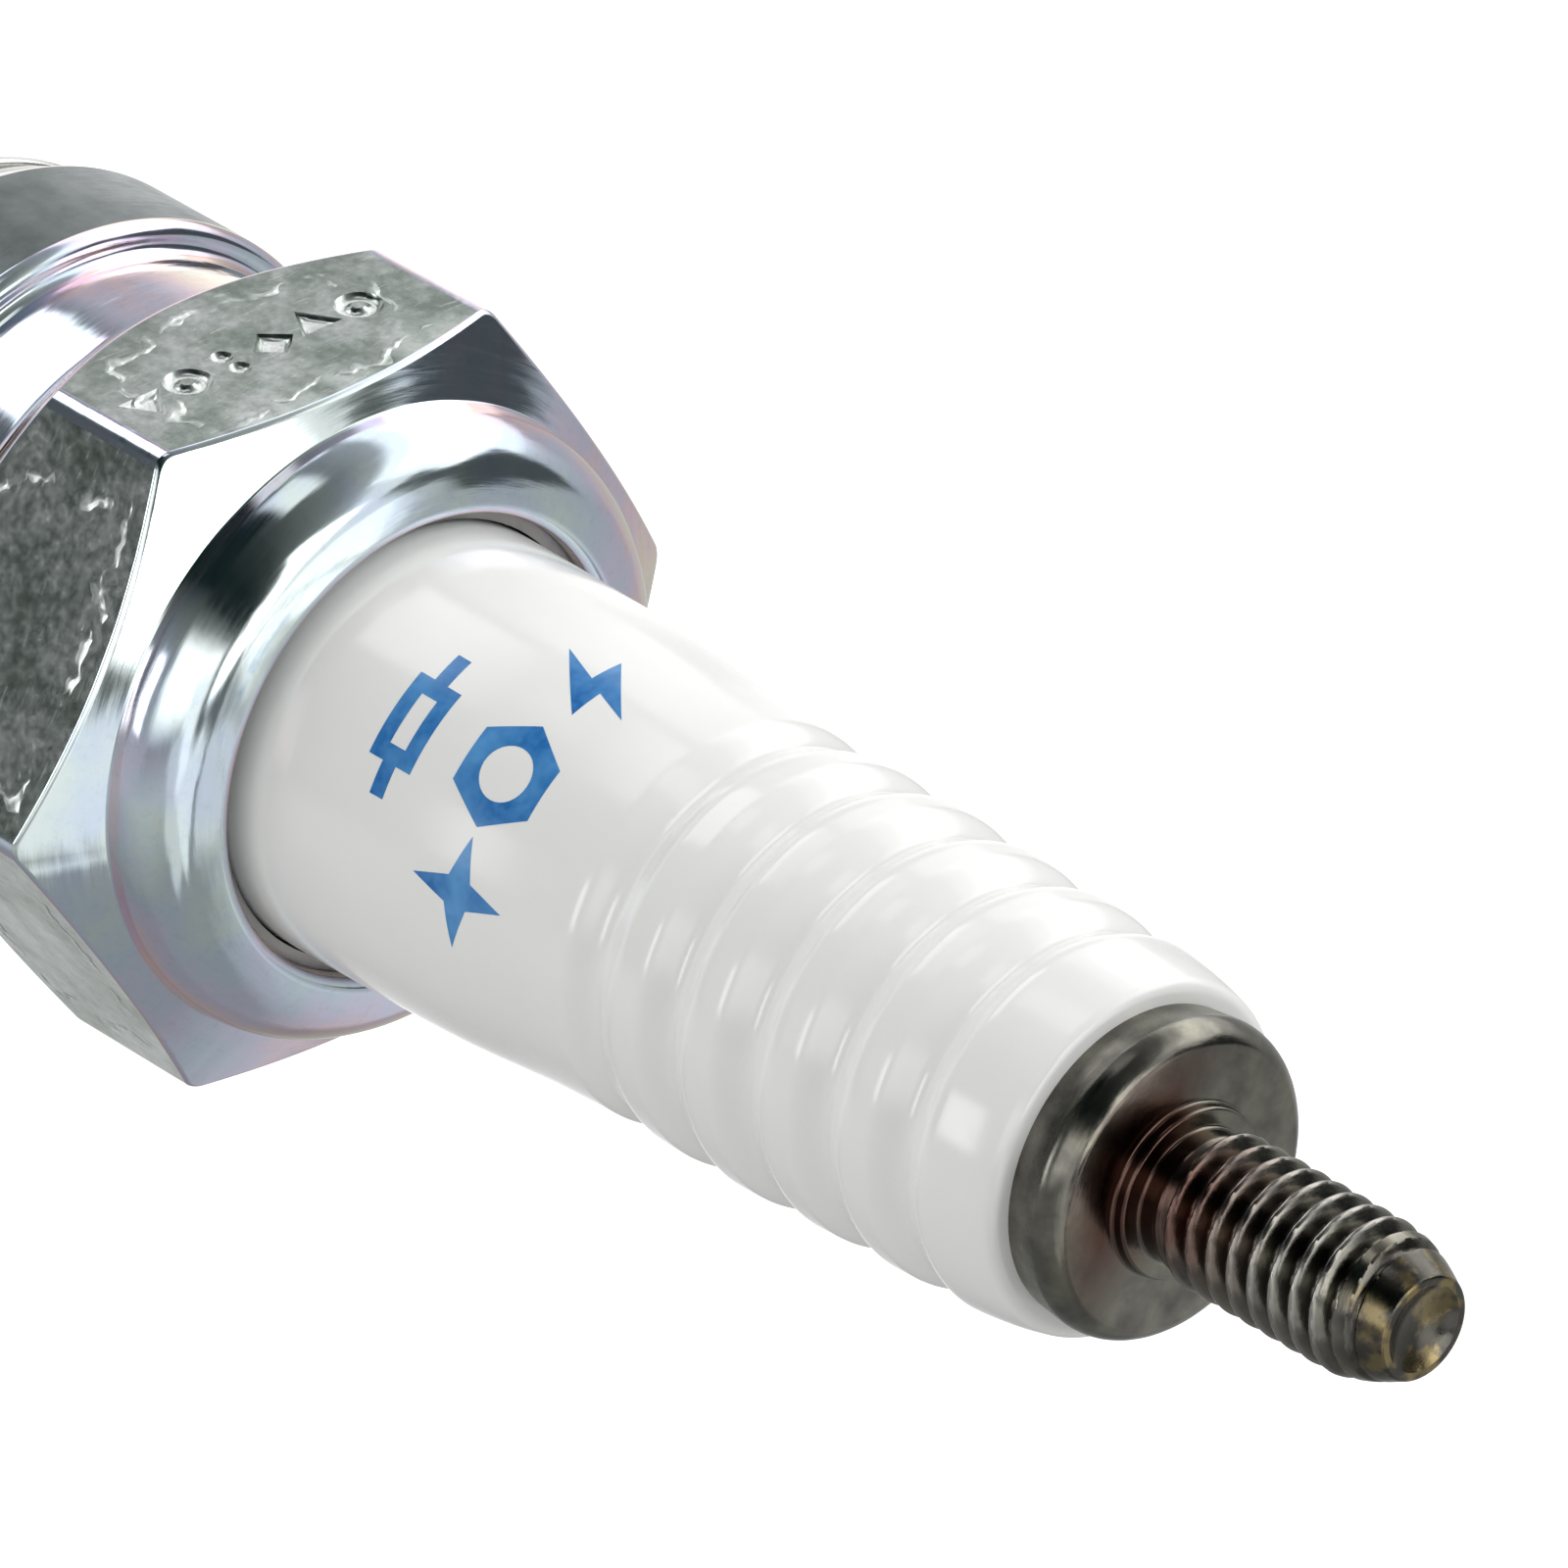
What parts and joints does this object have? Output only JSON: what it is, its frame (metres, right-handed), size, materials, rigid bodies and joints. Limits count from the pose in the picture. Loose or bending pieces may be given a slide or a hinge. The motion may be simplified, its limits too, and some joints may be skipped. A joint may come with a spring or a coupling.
{
  "type": "spark plug",
  "caption": "Spark plug for a small engine: ribbed white insulator, hexagonal plated shell with a long threaded reach, bare threaded terminal stud and a captive sealing washer.",
  "frame": {"origin": "on the plug's axis, level with the lowest point of the ground electrode", "axes": "+Z along the axis towards the terminal; +X through a corner of the hexagon; the ground electrode is welded on the +X side"},
  "size_m": [0.0206, 0.018, 0.0762],
  "materials": {
    "terminal_steel": "satin dark nickel plate",
    "glazed_alumina": "glossy white glaze",
    "plated_shell": "bright zinc plate with a faint iridescent tint",
    "packing_steel": "plain steel",
    "talc": "pressed powder",
    "conductive_glass": "copper-filled glass",
    "resistor_carbon": "sintered glass and carbon",
    "nickel_alloy": "satin nickel alloy",
    "copper": "copper",
    "gasket_steel": "zinc-plated sheet steel"
  },
  "bodies": {
    "plug": {"terminal_stud": "terminal_steel", "insulator": "glazed_alumina", "metal_shell": "plated_shell", "upper_packing_ring": "packing_steel", "talc_packing": "talc", "lower_packing_ring": "packing_steel", "seat_packing": "packing_steel", "upper_glass_seal": "conductive_glass", "resistor": "resistor_carbon", "lower_glass_seal": "conductive_glass", "centre_electrode": "nickel_alloy", "centre_electrode_core": "copper", "ground_electrode": "nickel_alloy"},
    "gasket": {"sealing_gasket": "gasket_steel"}
  },
  "joints": [
    {"name": "gasket_slide", "type": "slide", "parent": "plug", "child": "gasket", "axis": [0, 0, -1], "range_m": [0, 0.0005]}
  ]
}
